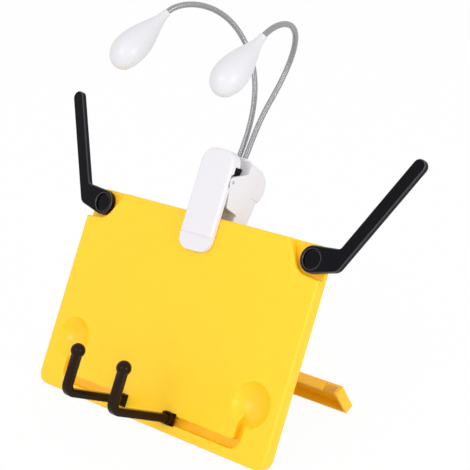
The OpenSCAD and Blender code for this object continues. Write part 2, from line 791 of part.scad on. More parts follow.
module lamp_housing() {
    color(white) at_housing() difference() {
        union() {
            jaw_body();
            front_body();
            intersection() {
                bulge(0);
                block([-lamp_w, bulge_y - 2 * bulge_r, cover_split],
                    [lamp_w, house_top + cut_over, face_front - wall_t / 2]);
            }
            ears();
        }
        upper_cavity();
        battery_bay();
        block([-lamp_w, -jaw_down - cut_over, jaw_back - cut_over],
            [lamp_w, jaw_top + cut_over, door_in + part_gap]);
        rod_x(clip_pin_d + 2 * seat_gap, -lamp_w, lamp_w);
        translate([0, jaw_pad_y, jaw_pad_z])
            rod_x(2 * (pad_r + seat_gap), -jaw_pad_half - seat_gap, jaw_pad_half + seat_gap);
        for (side = [-1, 1]) {
            translate([side * button_u, button_y, face_in - cut_over])
                linear_extrude(wall_t + 2 * cut_over)
                    polygon(plank(button_w / 2 + slip_gap, -button_h / 2 - slip_gap,
                        button_h / 2 + slip_gap, button_r, button_r));
            translate([side * neck_pitch / 2, socket_top - socket_depth, socket_z]) rotate([-90, 0, 0])
                cylinder(d = neck_d + 2 * seat_gap, h = socket_depth + cut_over);
        }
    }
}
module rear_cover() {
    color(white) at_housing() difference() {
        intersection() {
            bulge(0);
            block([-lamp_w, cover_low, bulge_z - 2 * bulge_r],
                [lamp_w, house_top + cut_over, cover_split - part_gap]);
        }
        intersection() {
            bulge(-wall_t);
            block([-cavity_half, cavity_low + wall_t + cover_lip, bulge_z - 2 * bulge_r],
                [cavity_half, cavity_top, 0]);
        }
    }
}
module battery_door() {
    color(white) at_housing() difference() {
        intersection() {
            jaw_body();
            block([-lamp_w, -jaw_down - cut_over, jaw_back - cut_over],
                [lamp_w, jaw_top - part_gap, door_in]);
        }
        for (i = [1:grip_rows])
            block([-grip_half, grip_y - i * grip_pitch, jaw_back - cut_over],
                [grip_half, grip_y - i * grip_pitch + grip_w, jaw_back + grip_sink]);
    }
}
module battery_cells() {
    color(steel) at_housing() for (i = [-1:1])
        translate([i * cell_pitch, cell_low, cell_z]) rotate([-90, 0, 0]) {
            cylinder(d = cell_d, h = cell_len);
            cylinder(d = cell_nub_d, h = cell_len + cell_nub);
        }
}
module battery_springs() {
    color(steel) at_housing() for (i = [-1:1])
        translate([i * cell_pitch, cell_low - contact_spring_len, cell_z]) rotate([-90, 0, 0])
            cylinder(d1 = contact_w - 2 * contact_t, d2 = cell_nub_d, h = contact_spring_len - seat_gap);
}
module battery_contacts() {
    color(brass) at_housing() for (i = [-1:1]) for (y = [bay_low + seat_gap, cell_high + seat_gap])
        block([i * cell_pitch - contact_w / 2, y, cell_z - contact_w / 2],
            [i * cell_pitch + contact_w / 2, y + contact_t, cell_z + contact_w / 2]);
}
module switch_board() {
    half = cavity_half - cover_step;
    color(board_green) at_housing() {
        block([-half, board_low, board_front - board_t], [half, board_high, board_front]);
        for (side = [-1, 1])
            block([side * button_u - tact_half, button_y - tact_half, board_front - board_t / 2],
                [side * button_u + tact_half, button_y + tact_half, tact_top]);
    }
}
module button(side) {
    color(black) at_housing() translate([side * button_u, button_y, 0]) {
        translate([0, 0, face_in - seat_gap - button_flange_t / 2])
            linear_extrude(wall_t + button_proud + button_flange_t / 2 + seat_gap)
                polygon(plank(button_w / 2, -button_h / 2, button_h / 2, button_r, button_r));
        translate([0, 0, face_in - seat_gap - button_flange_t]) linear_extrude(button_flange_t)
            polygon(plank(button_w / 2 + button_flange / 2, -button_h / 2 - button_flange,
                button_h / 2 + button_flange, button_r, button_r));
    }
}
module left_button() {
    button(-1);
}
module right_button() {
    button(1);
}

// Clip lever with its pin, spring and pads
function lever_ring(g, z) = lift(plank(lamp_w / 2 - g, -lever_down + g, lever_up - g,
    lever_low_r - g, lever_top_r - g), z);
module clip_lever() {
    half = lamp_w / 2 - lever_skin;
    color(white) at_clip() difference() {
        union() {
            difference() {
                union() {
                    loft(concat([lever_ring(0, lever_back)], [for (i = [0:edge_steps])
                        lever_ring(edge_inset(lever_edge, i),
                            lever_front - lever_edge + edge_rise(lever_edge, i))]));
                    translate([0, 0, lever_wrap_back])
                        linear_extrude(lever_back - lever_wrap_back + cut_over)
                            polygon(plank(lamp_w / 2, lever_wrap, lever_up, sharp, lever_top_r - sharp));
                }
                translate([0, 0, lever_wrap_back - cut_over])
                    linear_extrude(lever_front - lever_skin - lever_wrap_back + cut_over)
                        polygon(plank(half, -lever_down + lip_len + lever_skin, lever_up - lever_skin,
                            lever_low_r / 2, lever_top_r - lever_skin));
            }
            for (x = [-lever_lug_out, lever_lug_out - lever_lug_t]) {
                block([x, -lug_r, 0], [x + lever_lug_t, lug_r, lever_front - lever_skin / 2]);
                rod_x(2 * lug_r, x, x + lever_lug_t);
            }
        }
        block([-lamp_w, -lever_down - cut_over, lever_front - lip_step],
            [lamp_w, -lever_down + lip_len, lever_front + cut_over]);
        block([-pad_w / 2 - seat_gap, -lever_down + pad_low - seat_gap, lever_back - cut_over],
            [pad_w / 2 + seat_gap, -lever_down + pad_low + pad_len + seat_gap, lever_back + pad_sink]);
        rod_x(clip_pin_d + 2 * run_gap, -lamp_w, lamp_w);
        both_sides() intersection() {
            rod_x(2 * ear_notch_r, lever_lug_out + slip_gap, lamp_w);
            block([0, -lamp_w, -lamp_w], [lamp_w, lamp_w, lever_front - lever_skin]);
        }
    }
}
module clip_pin() {
    color(steel) at_housing() rod_x(clip_pin_d, -lamp_w / 2 + slip_gap, lamp_w / 2 - slip_gap);
}
module lever_pad() {
    color(rubber) at_clip() block([-pad_w / 2, -lever_down + pad_low, clip_back + seat_gap],
        [pad_w / 2, -lever_down + pad_low + pad_len, lever_back + pad_sink - seat_gap]);
}
module jaw_pad() {
    color(rubber) at_housing() translate([0, jaw_pad_y, jaw_pad_z])
        rod_x(2 * pad_r, -jaw_pad_half, jaw_pad_half);
}

// Rings across a path, each at right angles to it
function side_of(t, ref) = unit(cross(t, ref));
function ring(p, t, ref, r, sides) = let (a = side_of(t, ref), b = cross(t, a))
    [for (i = [0:sides - 1]) p + r * (cos(360 * i / sides) * a + sin(360 * i / sides) * b)];
function way(path, i) = unit(path[min(i + 1, len(path) - 1)] - path[max(i - 1, 0)]);

// Clip spring: one wire from the lever's inside, round the pin and down the housing
spring_half = spring_pitch * spring_turns / 2;
spring_coil = [for (i = [0:spring_turns * spring_rings]) let (a = 360 * i / spring_rings)
    [-spring_half + spring_pitch * i / spring_rings, spring_r * sin(a), spring_r * cos(a)]];
spring_rest = lever_front - lever_skin - spring_wire / 2 - seat_gap;
function from_lever(y, z) = [-spring_half, cos(clip_tilt) * y - sin(clip_tilt) * z,
    sin(clip_tilt) * y + cos(clip_tilt) * z];
spring_path = concat(
    [from_lever(-spring_leg, spring_rest), from_lever(-spring_leg / 2, (spring_r + spring_rest) / 2)],
    spring_coil,
    [[spring_half, -spring_leg / 2, -spring_r - spring_splay / 2],
        [spring_half, -spring_leg, -spring_r - spring_splay]]);
spring_gap = min([for (i = [0:len(spring_coil) - 1]) for (j = [i + 3:1:len(spring_coil) - 1])
    norm(spring_coil[i] - spring_coil[j])]) - spring_wire;
echo(clip_spring_least_gap = spring_gap);
module clip_spring() {
    color(steel) at_housing() loft([for (i = [0:len(spring_path) - 1])
        ring(spring_path[i], way(spring_path, i), [1, 0, 0.001], spring_wire / 2, spring_sides)]);
}

// Neck route: a straight lead, two joined cubic curves and a straight end in the head
function cubic(a, b, c, d, t) =
    pow(1 - t, 3) * a + 3 * pow(1 - t, 2) * t * b + 3 * (1 - t) * t * t * c + t * t * t * d;
function neck_route(side, lead, p) = let (
    out = [side * neck_pitch / 2, socket_top, socket_z],
    aim = unit(p[4] - p[3]))
    concat(
        [out - [0, socket_depth - seat_gap, 0], out - [0, socket_depth / 2, 0]],
        [for (i = [0:neck_steps]) cubic(out, out + [0, lead, 0], p[0], p[1], i / neck_steps)],
        [for (i = [1:neck_steps]) cubic(p[1], p[2], p[3], p[4], i / neck_steps)],
        [p[4] + aim * neck_in_head / 2, p[4] + aim * neck_in_head]);
function lengths(path) = [for (i = 0, s = 0; i < len(path); i = i + 1,
    s = s + (i < len(path) ? norm(path[i] - path[i - 1]) : 0)) s];
function at_length(path, s, d) =
    [for (k = [0:2]) lookup(d, [for (i = [0:len(path) - 1]) [s[i], path[i][k]]])];
function neck_rings(path, stops, radii) = let (
    s = lengths(path),
    spots = [for (d = stops) at_length(path, s, d)])
    [for (i = [0:len(spots) - 1])
        ring(spots[i], way(spots, i), [1, 0, 0], radii[i % len(radii)], neck_sides)];
module neck(route) {
    s = lengths(route);
    total = s[len(s) - 1];
    pitch = total / neck_ribs;
    bores = ceil(total / neck_bore_step);
    stops = [for (i = [0:neck_ribs - 1]) each [i * pitch, (i + 0.5) * pitch]];
    color(silver) at_housing() hose(
        neck_rings(route, concat(stops, [total]), [neck_d / 2, neck_d / 2 - neck_valley]),
        neck_rings(route, [for (i = [0:bores]) total * i / bores], [neck_bore / 2]));
}
module left_neck() {
    neck(neck_route(-1, neck_lead_left, neck_left));
}
module right_neck() {
    neck(neck_route(1, neck_lead_right, neck_right));
}

// Lamp heads: z runs from the neck to the tip, y is up from the lens
function head_profile(inset) = let (
    r = head_d / 2,
    mouth = head_mouth_r,
    swell = [for (i = [0:head_steps]) cubic([mouth, head_collar],
        [mouth + head_flare, head_flare_at * head_len],
        [r, head_full_at * head_len], [r, head_middle], i / head_steps)],
    tip = [for (i = [1:head_steps]) let (a = 90 * i / head_steps)
        [r * cos(a), head_middle + (head_len - head_middle - inset) * sin(a)]])
    concat([[0, 0], [mouth - min(inset, mouth / 2), 0]],
        [for (p = concat(swell, tip)) [max(p[0] - inset, 0), p[1]]]);
function neck_aim(p) = unit(p[4] - p[3]);
module at_head(p) {
    z = neck_aim(p);
    down = [0, -cos(lean + clip_tilt), -sin(lean + clip_tilt)];
    y = -unit(down - (down * z) * z);
    x = cross(y, z);
    at_housing() multmatrix([[x[0], y[0], z[0], p[4][0]], [x[1], y[1], z[1], p[4][1]],
        [x[2], y[2], z[2], p[4][2]], [0, 0, 0, 1]]) children();
}
module drop_shape(inset) {
    rotate_extrude() polygon(head_profile(inset));
}
module head_slice(inset, low, high, from) {
    intersection() {
        drop_shape(inset);
        block([-head_d, low, from], [head_d, high, head_len]);
    }
}
module head(p) {
    color(white) at_head(p) difference() {
        drop_shape(0);
        block([-head_d, -head_d, -cut_over], [head_d, -lens_drop, head_len + cut_over]);
        head_slice(head_wall, -head_d, -led_board_z + led_board_t + seat_gap, cavity_back);
        translate([0, 0, -cut_over])
            cylinder(d = neck_d + 2 * seat_gap, h = neck_in_head + seat_gap + cut_over);
    }
}
module lens(p) {
    color(lens_clear) at_head(p) head_slice(head_wall + lens_gap, -lens_drop + lens_sink,
        -lens_drop + lens_sink + lens_t, cavity_back + lens_gap);
}
module led_board(p) {
    color(board_green) at_head(p) head_slice(led_board_fit, -led_board_z, -led_board_z + led_board_t,
        cavity_back + lens_gap);
}
module leds(p) {
    low = -lens_drop + lens_sink + lens_t + led_gap;
    color(led_yellow) at_head(p) for (d = led_from_tip)
        translate([0, low, head_len - d]) rotate([-90, 0, 0])
            cylinder(d = led_d, h = -led_board_z - seat_gap - low);
}
module left_head() {
    head(neck_left);
}
module right_head() {
    head(neck_right);
}
module left_lens() {
    lens(neck_left);
}
module right_lens() {
    lens(neck_right);
}
module left_led_board() {
    led_board(neck_left);
}
module right_led_board() {
    led_board(neck_right);
}
module left_leds() {
    leds(neck_left);
}
module right_leds() {
    leds(neck_right);
}

panel();
kickstand();
hinge_pins();
left_arm();
right_arm();
left_arm_cap();
right_arm_cap();
arm_washers();
arm_screws();
left_hook();
right_hook();
hook_pins();
lamp_housing();
rear_cover();
battery_door();
battery_cells();
battery_springs();
battery_contacts();
switch_board();
left_button();
right_button();
clip_lever();
clip_pin();
clip_spring();
lever_pad();
jaw_pad();
left_neck();
right_neck();
left_head();
right_head();
left_lens();
right_lens();
left_led_board();
right_led_board();
left_leds();
right_leds();
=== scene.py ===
"""Tabletop music stand with a clip lamp: finishes, softened mouldings, wound necks and stage."""

import json
import math

import bmesh
import bpy
from mathutils import Matrix, Vector

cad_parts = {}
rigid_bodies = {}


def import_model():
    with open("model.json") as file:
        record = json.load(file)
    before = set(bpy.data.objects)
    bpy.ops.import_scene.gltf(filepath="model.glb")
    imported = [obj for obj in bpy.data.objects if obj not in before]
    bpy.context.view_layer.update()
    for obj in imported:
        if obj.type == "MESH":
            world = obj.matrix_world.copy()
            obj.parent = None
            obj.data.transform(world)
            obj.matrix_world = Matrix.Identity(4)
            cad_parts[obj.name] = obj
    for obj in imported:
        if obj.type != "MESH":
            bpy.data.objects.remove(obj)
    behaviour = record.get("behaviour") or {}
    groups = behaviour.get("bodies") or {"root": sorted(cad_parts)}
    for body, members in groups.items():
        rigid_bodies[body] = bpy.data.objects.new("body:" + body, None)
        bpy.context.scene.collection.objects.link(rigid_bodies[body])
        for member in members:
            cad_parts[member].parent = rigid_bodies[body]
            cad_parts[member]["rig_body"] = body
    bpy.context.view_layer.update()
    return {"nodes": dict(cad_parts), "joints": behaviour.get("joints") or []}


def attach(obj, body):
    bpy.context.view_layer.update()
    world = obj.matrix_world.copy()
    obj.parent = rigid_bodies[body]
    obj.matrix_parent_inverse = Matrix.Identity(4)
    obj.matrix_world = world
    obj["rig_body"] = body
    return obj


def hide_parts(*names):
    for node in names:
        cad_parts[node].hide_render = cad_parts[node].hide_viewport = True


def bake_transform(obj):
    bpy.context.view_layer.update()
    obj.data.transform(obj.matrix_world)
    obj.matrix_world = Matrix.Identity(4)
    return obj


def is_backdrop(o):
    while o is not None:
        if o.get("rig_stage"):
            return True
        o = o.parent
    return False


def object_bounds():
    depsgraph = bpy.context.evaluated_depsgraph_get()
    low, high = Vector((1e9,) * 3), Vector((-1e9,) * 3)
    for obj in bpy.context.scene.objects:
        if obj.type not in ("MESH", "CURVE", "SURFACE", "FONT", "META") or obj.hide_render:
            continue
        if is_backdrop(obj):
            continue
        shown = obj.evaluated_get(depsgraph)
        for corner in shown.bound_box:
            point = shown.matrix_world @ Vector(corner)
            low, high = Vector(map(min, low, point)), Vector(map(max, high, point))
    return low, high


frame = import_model()

bl_info = {
    "name": "Tabletop music stand",
    "version": (1, 0, 0),
    "blender": (4, 5, 0),
    "location": "View3D > Sidebar > Music stand",
    "description": "Dresses the music stand's solids: mouldings, wound necks, lamp and stage",
    "category": "Object",
}

MM = 0.001

# Nodes of the frame that share a finish
ARM_NODES = ["left_arm", "right_arm", "left_arm_cap", "right_arm_cap"]
HOOK_NODES = ["left_hook", "right_hook"]
CASE_NODES = ["lamp_housing", "rear_cover", "battery_door", "clip_lever"]
BUTTON_NODES = ["left_button", "right_button"]
HEAD_NODES = ["left_head", "right_head"]
STEEL_NODES = ["hinge_pins", "hook_pins", "clip_pin", "clip_spring", "arm_washers", "arm_screws",
               "battery_springs"]
RUBBER_NODES = ["lever_pad", "jaw_pad"]
LENS_NODES = ["left_lens", "right_lens"]

# Plastics inside the lamp: colour, roughness and nodes
INNER_PLASTICS = {
    "cell_sleeve": ((0.3, 0.31, 0.33), 0.35, ["battery_cells"]),
    "board_coat": ((0.02, 0.16, 0.06), 0.4, ["switch_board"]),
    "lamp_board_coat": ((0.72, 0.72, 0.7), 0.4, ["left_led_board", "right_led_board"]),
    "led_resin": ((0.9, 0.85, 0.55), 0.15, ["left_leds", "right_leds"]),
}
CONTACT_COLOUR = (0.7, 0.53, 0.24)
PAD_COLOUR = (0.05, 0.05, 0.055)
LENS_COLOUR = (0.97, 0.98, 1.0)

# Roughness of the metals and pads, and how much glossier edges and hooks are than other plastic
NECK_ROUGHNESS = 0.16
METAL_ROUGHNESS = 0.25
PAD_ROUGHNESS = 0.75
EDGE_GLOSS = 0.08
HOOK_GLOSS = 0.18

# Strength of the mirror-like shine of plastic
PLASTIC_SHINE = 0.45
ARM_SHINE = 0.1
EDGE_SHINE = 0.55
HOOK_SHINE = 0.11

# Detail of the noise in every finish
NOISE_DETAIL = 2.0

# Moulded plastic: a faint mottle, a fine grain, and how far red, green and blue soak in, in metres
MOTTLE_SCALE = 35
MOTTLE_SHADE = 0.97
MOTTLE_GLOSS = 0.08
GRAIN_SCALE = 1800
GRAIN_DEPTH = 0.01 * MM
GRAIN_STRENGTH = 0.25
PAD_GRAIN_DEPTH = 0.03 * MM
SOAK_SHARE = 0.5
YELLOW_SOAK = (0.004, 0.0012, 0.0002)

# Metal: a fine scratch grain in its shade and its gloss
SCRATCH_SCALE = 900
SCRATCH_SHADE = 0.85
SCRATCH_GLOSS = 0.12

# Frosted lens: a slightly cloudy, mostly clear plastic
LENS_ROUGHNESS = 0.3
LENS_CLOUD_SCALE = 60
LENS_CLOUD_GLOSS = 0.06
LENS_CLEAR_SHARE = 0.7
LENS_IOR = 1.49

# Softened copies: points nearer than the weld join, and edges past an angle are rounded
WELD_DISTANCE = 0.002 * MM
FLAT_DEG = 0.4
ROUNDED_FROM_DEG = 40
FINE_SEGMENTS = 3

# Smooth shading up to these angles
SOLID_SMOOTH_DEG = 30
HEAD_SMOOTH_DEG = 40
NECK_SMOOTH_DEG = 60

# Necks, from the clip pin, across, up and out, in millimetres: side, straight lead, curve points
NECK_MOUTH = (3.6, 28.5, -19.5)
NECK_SOCKET = 9.0
NECK_IN_HEAD = 7.5
NECK_ROUTES = {
    "left_neck": (-1, 37, [(-13, 111, -18), (-17, 126, 27), (-21, 140, 68), (-24.5, 115, 107),
                           (-27, 100, 112)]),
    "right_neck": (1, 18, [(7, 60, -12), (15, 87, -8), (37, 167, 4), (68, 123, 86), (67, 98, 95)]),
}
NECK_CURVE_STEPS = 60

# Stage: places and sizes in metres
KEY_PLACE = (0.3, -1.8, 1.1)
KEY_SIZE = 0.6
FILL_PLACE = (1.6, -0.3, 0.45)
FILL_SIZE = 0.5
FLOOR_HALF = 6.0
FLOOR_DROP = 0.0003
FLOOR_GREY = 0.9
FLOOR_WHITE_SHARE = 0.96
SENSOR_WIDTH_MM = 36
VIEW_END = 50


def joint(name):
    """The frame's joint of that name."""
    return next(j for j in frame["joints"] if j["name"] == name)


def housing_place():
    """The lamp housing's own directions, from its pin, its door and its buttons."""
    up = -Vector(joint("battery_door_slide")["axis"])
    out = -Vector(joint("left_button_press")["axis"])
    across = up.cross(out)
    pin = Vector(joint("clip_squeeze")["pos_m"])
    turn = Matrix((across, up, out)).transposed().to_4x4()
    return Matrix.Translation(pin) @ turn


class StandFinish(bpy.types.PropertyGroup):
    """Colours and finishes of the stand and its lamp."""

    yellow: bpy.props.FloatVectorProperty(
        name="Yellow", description="Moulded panel", subtype="COLOR", size=3,
        min=0, max=1, default=(1.0, 0.61, 0.012))
    # Painted shade: the kickstand is the panel's plastic, given a deeper, more orange yellow for
    # the shade it stands in
    leg_yellow_painted_shade: bpy.props.FloatVectorProperty(
        name="Kickstand yellow", description="Deeper yellow of the kickstand", subtype="COLOR",
        size=3, min=0, max=1, default=(1.0, 0.57, 0.01))
    black: bpy.props.FloatVectorProperty(
        name="Black", description="Arms, caps and buttons", subtype="COLOR", size=3,
        min=0, max=1, default=(0.002, 0.002, 0.0042))
    # Painted reflection: the hooks' black plastic is browned to stand in for the yellow panel
    # reflected in them
    hook_black_painted_reflection: bpy.props.FloatVectorProperty(
        name="Warm black", description="Browner black of the page hooks", subtype="COLOR", size=3,
        min=0, max=1, default=(0.018, 0.007, 0.0027))
    # Painted highlight: a lighter black on the arms' rounded edges stands in for the light caught
    # along them
    painted_highlight_black: bpy.props.FloatVectorProperty(
        name="Black edges", description="Edges of the arms, with a painted highlight", subtype="COLOR", size=3,
        min=0, max=1, default=(0.02, 0.02, 0.024))
    white: bpy.props.FloatVectorProperty(
        name="White", description="Clip lamp mouldings", subtype="COLOR", size=3,
        min=0, max=1, default=(0.77, 0.755, 0.795))
    # Partly painted shade: the heads' bluish tint is their own, but their white is darker than the
    # case's to take down the light falling on them
    cool_white_painted_shade: bpy.props.FloatVectorProperty(
        name="Cool white", description="Lamp heads", subtype="COLOR", size=3,
        min=0, max=1, default=(0.69, 0.69, 0.72))
    metal: bpy.props.FloatVectorProperty(
        name="Neck metal", description="Wound necks", subtype="COLOR", size=3,
        min=0, max=1, default=(0.37, 0.37, 0.385))
    steel: bpy.props.FloatVectorProperty(
        name="Steel", description="Pins, washers, screws and springs", subtype="COLOR", size=3,
        min=0, max=1, default=(0.56, 0.56, 0.58))
    plastic_roughness: bpy.props.FloatProperty(
        name="Plastic roughness", description="Gloss of the mouldings, lower is shinier",
        subtype="FACTOR", min=0, max=1, default=0.34)


class StandForm(bpy.types.PropertyGroup):
    """Small forms on the solids."""

    panel_edge: bpy.props.FloatProperty(
        name="Panel edges", description="Rounding of the yellow mouldings' edges",
        unit="LENGTH", min=0, max=0.002, default=0.0004, precision=5)
    arm_edge: bpy.props.FloatProperty(
        name="Arm edges", description="Rounding of the arms' edges",
        unit="LENGTH", min=0, max=0.002, default=0.0011, precision=5)
    case_edge: bpy.props.FloatProperty(
        name="Lamp edges", description="Rounding of the lamp mouldings' edges",
        unit="LENGTH", min=0, max=0.002, default=0.0008, precision=5)
    neck_radius: bpy.props.FloatProperty(
        name="Neck radius", description="Outer radius of the wound necks",
        unit="LENGTH", min=0.002, max=0.004, default=0.0026, precision=5)
    neck_pitch: bpy.props.FloatProperty(
        name="Neck winding", description="Distance between two turns of the winding",
        unit="LENGTH", min=0.0005, max=0.003, default=0.0016, precision=5)
    neck_groove: bpy.props.FloatProperty(
        name="Neck groove", description="Depth between two turns of the winding",
        unit="LENGTH", min=0, max=0.0006, default=0.00026, precision=5)


class StandStage(bpy.types.PropertyGroup):
    """Camera and light."""

    camera_place: bpy.props.FloatVectorProperty(
        name="Camera", description="Where the camera stands", subtype="TRANSLATION", size=3,
        unit="LENGTH", default=(0.7120, -0.7517, 0.5088))
    camera_azimuth: bpy.props.FloatProperty(
        name="Azimuth", description="Turn of the view to the object's right", unit="ROTATION",
        default=math.radians(40.802))
    camera_elevation: bpy.props.FloatProperty(
        name="Elevation", description="Height of the view above level", unit="ROTATION",
        default=math.radians(18.389))
    camera_lens: bpy.props.FloatProperty(
        name="Lens", description="Focal length in millimetres on the camera's sensor",
        min=10, max=300, default=96.59)
    key_power: bpy.props.FloatProperty(
        name="Key light", description="Power of the light from the front",
        unit="POWER", min=0, default=8.4)
    fill_power: bpy.props.FloatProperty(
        name="Fill light", description="Power of the light from the right",
        unit="POWER", min=0, default=6.2)
    room_light: bpy.props.FloatProperty(
        name="Room light", description="Strength of the even light all round",
        min=0, max=2, default=0.92)


class Wire:
    """A socket that takes part in sums: each operator adds a Math node."""

    def __init__(self, paint, socket):
        self.paint = paint
        self.socket = socket

    def maths(self, operation, a, b):
        """The result of one Math node."""
        return self.paint.node("ShaderNodeMath", {"operation": operation}, {0: a, 1: b})

    def __add__(self, other):
        return self.maths("ADD", self, other)

    def __radd__(self, other):
        return self.maths("ADD", other, self)

    def __mul__(self, other):
        return self.maths("MULTIPLY", self, other)

    def __rmul__(self, other):
        return self.maths("MULTIPLY", other, self)


class Paint:
    """The nodes of one new material, or of the tree that is given."""

    def __init__(self, name, tree=None):
        if tree is None:
            self.material = bpy.data.materials.new(name)
            self.material.use_nodes = True
            tree = self.material.node_tree
        self.tree = tree
        self.tree.nodes.clear()

    def node(self, kind, settings=None, inputs=None, output=0):
        """Adds a node: its settings first, then the values or wires of its sockets."""
        made = self.tree.nodes.new(kind)
        for key, value in (settings or {}).items():
            setattr(made, key, value)
        for key, value in (inputs or {}).items():
            if isinstance(value, Wire):
                self.tree.links.new(value.socket, made.inputs[key])
            else:
                made.inputs[key].default_value = value
        return Wire(self, made.outputs[output]) if len(made.outputs) else None

    def place(self):
        """A point on the surface, in metres."""
        return self.node("ShaderNodeTexCoord", output="Object")

    def grain(self, scale):
        """Even noise from 0 to 1."""
        return self.node("ShaderNodeTexNoise", {"noise_dimensions": "3D"},
                         {"Vector": self.place(), "Scale": scale, "Detail": NOISE_DETAIL})

    def tint(self, amount, a, b):
        """A colour between a and b."""
        return self.node("ShaderNodeMix", {"data_type": "RGBA"},
                         {0: amount, 6: (*a, 1), 7: (*b, 1)}, output=2)

    def bump(self, height, depth, strength):
        """Small heights on the surface, as its normal."""
        return self.node("ShaderNodeBump", None,
                         {"Height": height, "Distance": depth, "Strength": strength})

    def surface(self, **inputs):
        """The finished shader; names are the shader's sockets with _ for a space."""
        sockets = {key.replace("_", " "): value for key, value in inputs.items()}
        shader = self.node("ShaderNodeBsdfPrincipled", {"subsurface_method": "BURLEY"}, sockets)
        self.node("ShaderNodeOutputMaterial", None, {"Surface": shader})
        return self.material


def darker(colour, share):
    """The colour at a share of its strength."""
    return tuple(c * share for c in colour)


def moulded(name, colour, roughness, grain_depth=GRAIN_DEPTH, shine=PLASTIC_SHINE, soak=None):
    """Injection-moulded plastic: an even colour with a faint mottle and a fine grain.

    soak is how far red, green and blue light travel inside it, in metres.
    """
    paint = Paint(name)
    mottle = paint.grain(MOTTLE_SCALE)
    fine = paint.grain(GRAIN_SCALE)
    return paint.surface(
        Base_Color=paint.tint(mottle, darker(colour, MOTTLE_SHADE), colour),
        Roughness=roughness - MOTTLE_GLOSS / 2 + mottle * MOTTLE_GLOSS,
        Normal=paint.bump(fine, grain_depth, GRAIN_STRENGTH),
        Subsurface_Weight=SOAK_SHARE if soak else 0.0,
        Subsurface_Radius=soak or (0.0, 0.0, 0.0),
        Subsurface_Scale=1.0,
        Specular_IOR_Level=shine)


def bright_metal(name, colour, roughness):
    """Drawn or wound metal with a fine scratch grain."""
    paint = Paint(name)
    scratch = paint.grain(SCRATCH_SCALE)
    return paint.surface(
        Base_Color=paint.tint(scratch, darker(colour, SCRATCH_SHADE), colour),
        Metallic=1.0,
        Roughness=roughness + scratch * SCRATCH_GLOSS)


def frosted_plastic(name, colour):
    """The lamp heads' lenses: light passes, and what lies behind is blurred."""
    paint = Paint(name)
    cloud = paint.grain(LENS_CLOUD_SCALE)
    return paint.surface(
        Base_Color=(*colour, 1),
        Roughness=LENS_ROUGHNESS + cloud * LENS_CLOUD_GLOSS,
        Transmission_Weight=LENS_CLEAR_SHARE,
        IOR=LENS_IOR)


def node_material(name, material):
    """Gives a solid its finish; its shape stays as it is."""
    solid = frame["nodes"][name]
    set_finishes(solid, [material])
    smooth(solid, SOLID_SMOOTH_DEG)


def moulded_copy(name, finishes, edge, segments=2, smooth_deg=32):
    """A softened copy in a solid's place; the last finish goes on its rounded edges."""
    solid = frame["nodes"][name]
    mesh = solid.data.copy()
    mesh.name = name + "_skin"
    shape = bmesh.new()
    shape.from_mesh(mesh)
    bmesh.ops.remove_doubles(shape, verts=shape.verts, dist=WELD_DISTANCE)
    bmesh.ops.dissolve_limit(shape, angle_limit=math.radians(FLAT_DEG),
                             verts=shape.verts, edges=shape.edges)
    shape.to_mesh(mesh)
    shape.free()
    skin = bpy.data.objects.new(name + "_skin", mesh)
    bpy.context.scene.collection.objects.link(skin)
    set_finishes(skin, finishes)
    if edge > 0:
        bevel = skin.modifiers.new("rounding", "BEVEL")
        bevel.width = edge
        bevel.segments = segments
        bevel.limit_method = "ANGLE"
        bevel.angle_limit = math.radians(ROUNDED_FROM_DEG)
        bevel.use_clamp_overlap = True
        bevel.material = len(finishes) - 1
        settle(skin)
    smooth(skin, smooth_deg)
    if edge > 0:
        flat = skin.modifiers.new("flat_faces", "WEIGHTED_NORMAL")
        flat.keep_sharp = True
        settle(skin)
    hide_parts(name)
    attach(skin, solid["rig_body"])


def settle(piece):
    """Turns what the modifiers show into the piece's own mesh."""
    bpy.context.view_layer.update()
    shown = piece.evaluated_get(bpy.context.evaluated_depsgraph_get())
    piece.data = bpy.data.meshes.new_from_object(shown)
    piece.modifiers.clear()


def set_finishes(piece, finishes):
    """The first finish all over; the others wait in their slots."""
    piece.data.materials.clear()
    for finish in finishes:
        piece.data.materials.append(finish)


def smooth(piece, sharp_deg):
    """Smooth shading up to an angle."""
    piece.data.polygons.foreach_set("use_smooth", [True] * len(piece.data.polygons))
    piece.data.set_sharp_from_angle(angle=math.radians(sharp_deg))


def cubic(a, b, c, d):
    """Points of the curve from a to d with handles b and c."""
    line = []
    for i in range(NECK_CURVE_STEPS + 1):
        t = i / NECK_CURVE_STEPS
        s = 1 - t
        line.append(s ** 3 * a + 3 * s * s * t * b + 3 * s * t * t * c + t ** 3 * d)
    return line


def neck_line(side, lead, points):
    """The neck's centre line, in the frame, from its socket to inside its head."""
    across, up, out = NECK_MOUTH
    mouth = Vector((side * across, up, out))
    foot_handle, top, top_handle, head_handle, head = [Vector(q) for q in points]
    line = [mouth - Vector((0, NECK_SOCKET, 0))]
    line += cubic(mouth, mouth + Vector((0, lead, 0)), foot_handle, top)
    line += cubic(top, top_handle, head_handle, head)[1:]
    line.append(head + (head - head_handle).normalized() * NECK_IN_HEAD)
    place = housing_place()
    return [place @ (q * MM) for q in line]


def spaced(line, step):
    """Points along a line at even distances."""
    out = [line[0].copy()]
    left = step
    for a, b in zip(line, line[1:]):
        length = (b - a).length
        while left <= length:
            out.append(a.lerp(b, left / length))
            left += step
        left -= length
    return out


